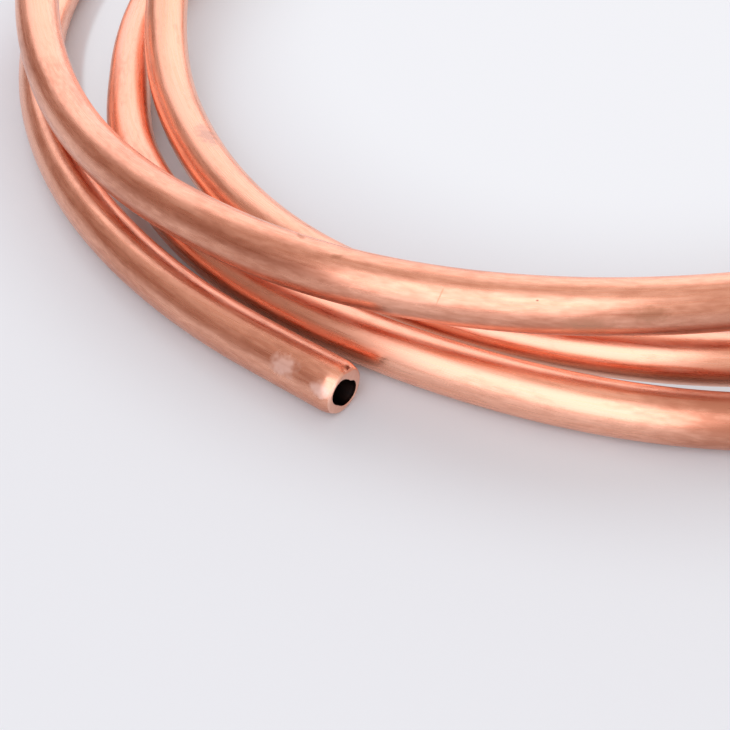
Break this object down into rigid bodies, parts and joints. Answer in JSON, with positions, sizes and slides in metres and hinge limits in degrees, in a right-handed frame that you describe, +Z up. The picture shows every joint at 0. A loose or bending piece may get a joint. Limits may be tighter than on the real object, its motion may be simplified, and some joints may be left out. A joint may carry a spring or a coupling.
{
  "type": "copper tube coil",
  "caption": "Loose coil of soft copper tube, its turns lying over one another, with both ends cut square and rolled in by a tube cutter.",
  "frame": {"origin": "on the floor, under the middle of the coil's footprint", "axes": "+Z up, the coil's eye opening up; -Y towards the lower cut end, where the viewer stands; +X to the viewer's right"},
  "size_m": [0.1742, 0.173, 0.0155],
  "materials": {
    "copper": null
  },
  "bodies": {
    "root": {"copper_tube": "copper"}
  },
  "joints": []
}
